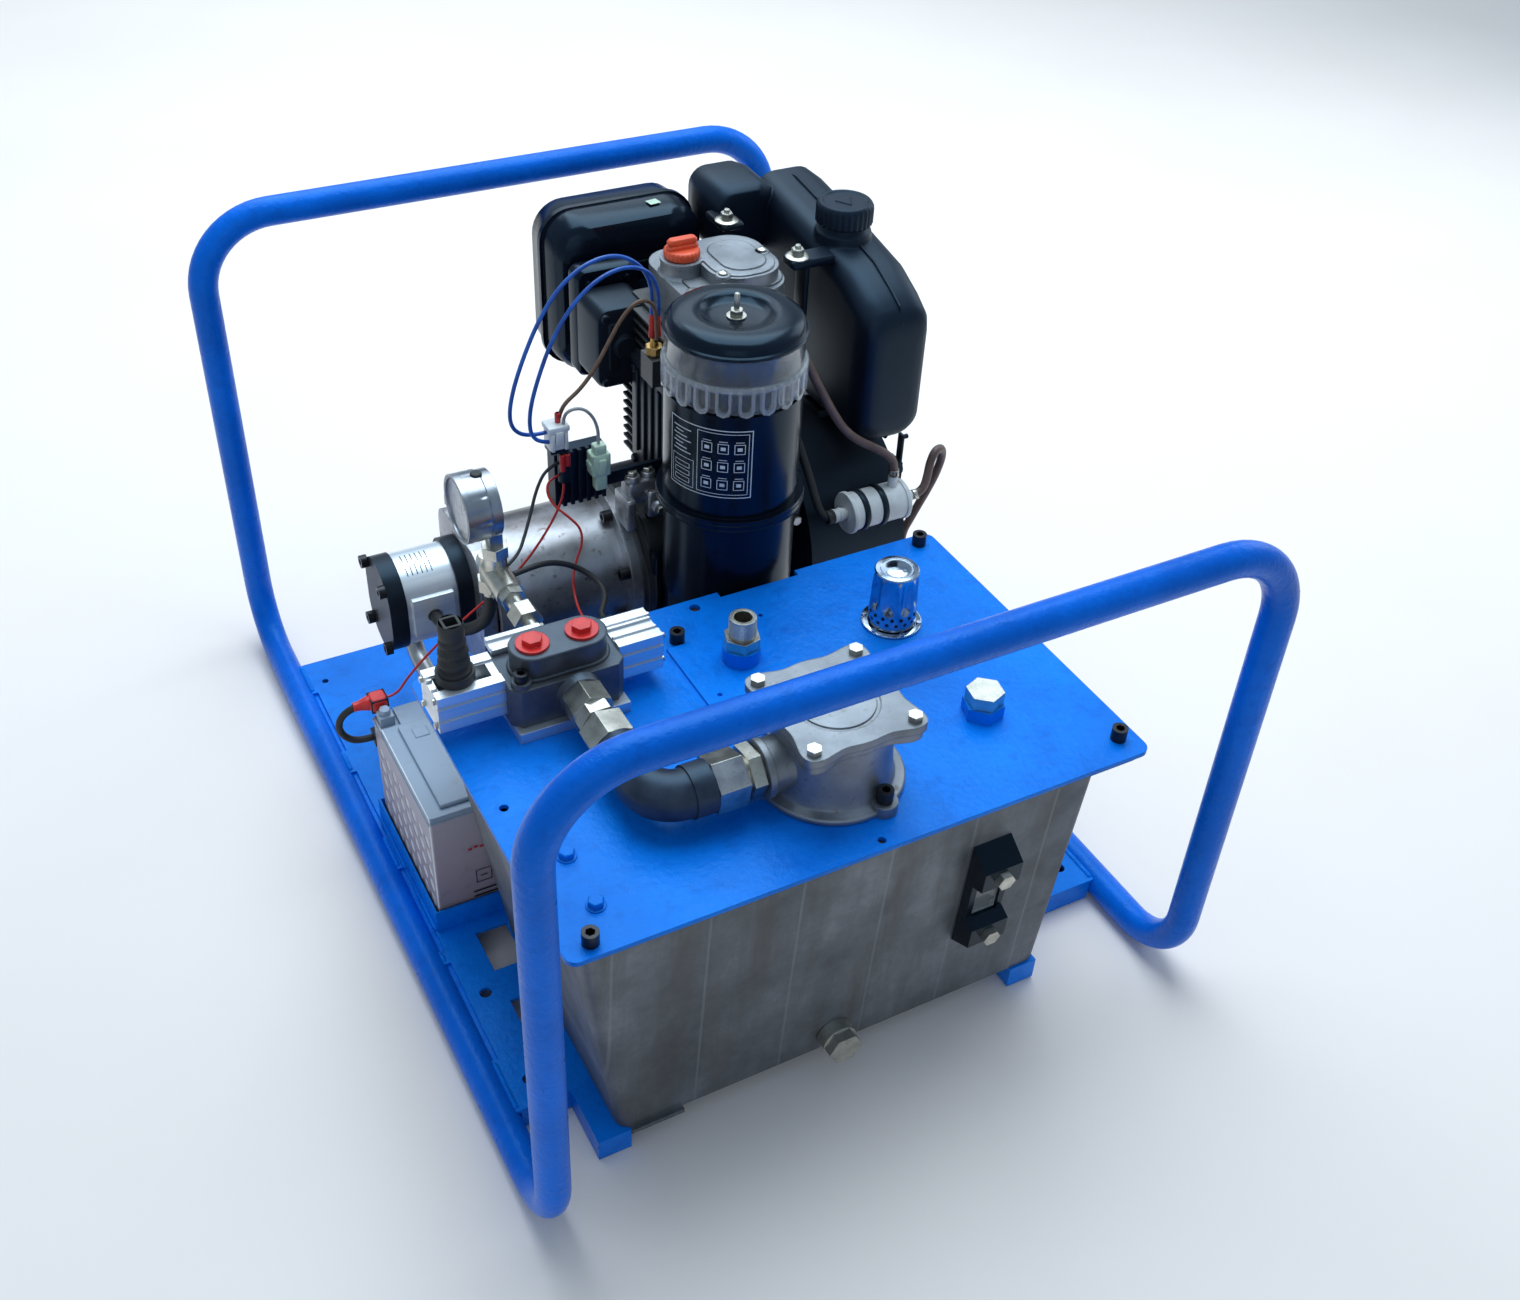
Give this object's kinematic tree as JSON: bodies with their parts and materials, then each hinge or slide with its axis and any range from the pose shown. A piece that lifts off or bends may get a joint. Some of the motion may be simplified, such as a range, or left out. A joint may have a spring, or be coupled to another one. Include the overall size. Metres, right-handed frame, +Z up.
{
  "type": "hydraulic power unit",
  "caption": "Hydraulic power unit in a blue tubular frame: air-cooled engine, gear pump, bare metal oil tank with filter, breather, gauge and lever valve, and a battery",
  "frame": {"origin": "On the ground under the middle of the tubular frame", "axes": "+Z up; the oil tank end faces -Y; the pump and battery are on the -X side"},
  "size_m": [0.7678, 1.0398, 0.6628],
  "materials": {
    "frame_blue": "gloss",
    "bare_tank": "satin",
    "black_metal": "gloss",
    "zinc": "satin",
    "chrome_steel": "polished",
    "cast_grey": "matte",
    "cast_aluminium": "satin",
    "steel": "satin",
    "black_rubber": "matte",
    "black_plastic": "matte",
    "red_plastic": "gloss",
    "orange_plastic": "matte",
    "battery_grey": "matte",
    "clear": "gloss",
    "white_plastic": "gloss",
    "blue_insulation": "gloss",
    "red_insulation": "gloss",
    "brown_insulation": "gloss",
    "filter_paper": "matte"
  },
  "bodies": {
    "root": {"tubular_frame": "frame_blue", "base_plate": "frame_blue", "base_brackets": "frame_blue", "battery": "battery_grey", "oil_tank": "bare_tank", "tank_cover": "frame_blue", "socket_screws": "black_metal", "hex_bolts": "zinc", "level_gauge_body": "black_plastic", "clear_windows": "clear", "threaded_fittings": "zinc", "breather_base": "steel", "filter_head": "cast_aluminium", "filter_insert": "filter_paper", "return_elbow": "black_metal", "valve_body": "cast_grey", "valve_ends": "cast_aluminium", "port_plugs": "red_plastic", "rubber_parts": "black_rubber", "gauge_case": "chrome_steel", "pump_body": "cast_aluminium", "pump_covers": "black_metal", "bell_housing": "cast_aluminium", "crankcase": "cast_aluminium", "cylinder": "cast_aluminium", "rocker_cover": "cast_aluminium", "fan_shroud": "black_metal", "air_cleaner_can": "black_metal", "precleaner_bowl": "clear", "precleaner_cap": "black_plastic", "muffler": "black_metal", "fuel_tank": "black_plastic", "fuel_filter": "white_plastic", "electrical_fittings": "black_plastic", "suction_pipe": "steel", "blue_wire_outer": "blue_insulation", "blue_wire_inner": "blue_insulation", "brown_wires": "brown_insulation", "red_wire": "red_insulation", "battery_red_wire": "red_insulation", "grey_wire": "battery_grey", "black_wire": "black_rubber", "sensor_cable": "black_rubber", "battery_lead": "black_rubber", "fuel_hose_feed": "black_rubber", "fuel_hose_return": "black_rubber", "pressure_hose": "black_rubber"},
    "drivetrain": {"crankshaft": "steel", "drive_gear": "steel", "coupling": "steel", "flywheel": "cast_grey"},
    "driven_gear_body": {"driven_gear": "steel"},
    "needle": {"gauge_needle": "black_metal"},
    "lever": {"control_lever": "black_rubber"},
    "spool": {"valve_spool": "steel"},
    "fuel_cap_body": {"fuel_cap": "black_plastic"},
    "oil_cap_body": {"oil_cap": "orange_plastic"},
    "breather_cap_body": {"breather_cap": "chrome_steel"},
    "speed_lever_body": {"speed_lever": "black_metal"},
    "piston_body": {"piston": "cast_aluminium"}
  },
  "joints": [
    {"name": "crank_turn", "type": "hinge", "parent": "root", "child": "drivetrain", "pos_m": [0, 0.17, 0.24], "axis": [1, 0, 0], "continuous": true},
    {"name": "gear_turn", "type": "hinge", "parent": "root", "child": "driven_gear_body", "pos_m": [-0.24, 0.17, 0.276], "axis": [1, 0, 0], "continuous": true},
    {"name": "needle_turn", "type": "hinge", "parent": "root", "child": "needle", "pos_m": [-0.235, 0.014, 0.47], "axis": [1, 0, 0], "range_deg": [0, 270]},
    {"name": "lever_tilt", "type": "hinge", "parent": "root", "child": "lever", "pos_m": [-0.306, -0.146, 0.392], "axis": [0, 1, 0], "range_deg": [-15, 15], "stiffness_Nm_per_rad": 4},
    {"name": "spool_slide", "type": "slide", "parent": "root", "child": "spool", "axis": [1, 0, 0], "range_m": [-0.0051, 0.0051]},
    {"name": "fuel_cap_turn", "type": "hinge", "parent": "root", "child": "fuel_cap_body", "pos_m": [0.295, 0.18, 0.612], "axis": [0, 0, 1], "range_deg": [0, 90]},
    {"name": "oil_cap_turn", "type": "hinge", "parent": "root", "child": "oil_cap_body", "pos_m": [0.091, 0.184, 0.606], "axis": [0, 0, 1], "range_deg": [0, 360]},
    {"name": "breather_cap_turn", "type": "hinge", "parent": "root", "child": "breather_cap_body", "pos_m": [0.164, -0.184, 0.33985], "axis": [0, 0, 1], "range_deg": [0, 60]},
    {"name": "speed_lever_turn", "type": "hinge", "parent": "root", "child": "speed_lever_body", "pos_m": [0.3454, 0.092, 0.318], "axis": [1, 0, 0], "range_deg": [0, 35]},
    {"name": "piston_travel", "type": "slide", "parent": "root", "child": "piston_body", "axis": [0, 0, 1], "range_m": [-0.07, 0]}
  ],
  "couplings": [
    {"joint": "gear_turn", "follows": "crank_turn", "ratio": -1},
    {"joint": "spool_slide", "follows": "lever_tilt", "m_per_rad": -0.0191}
  ]
}
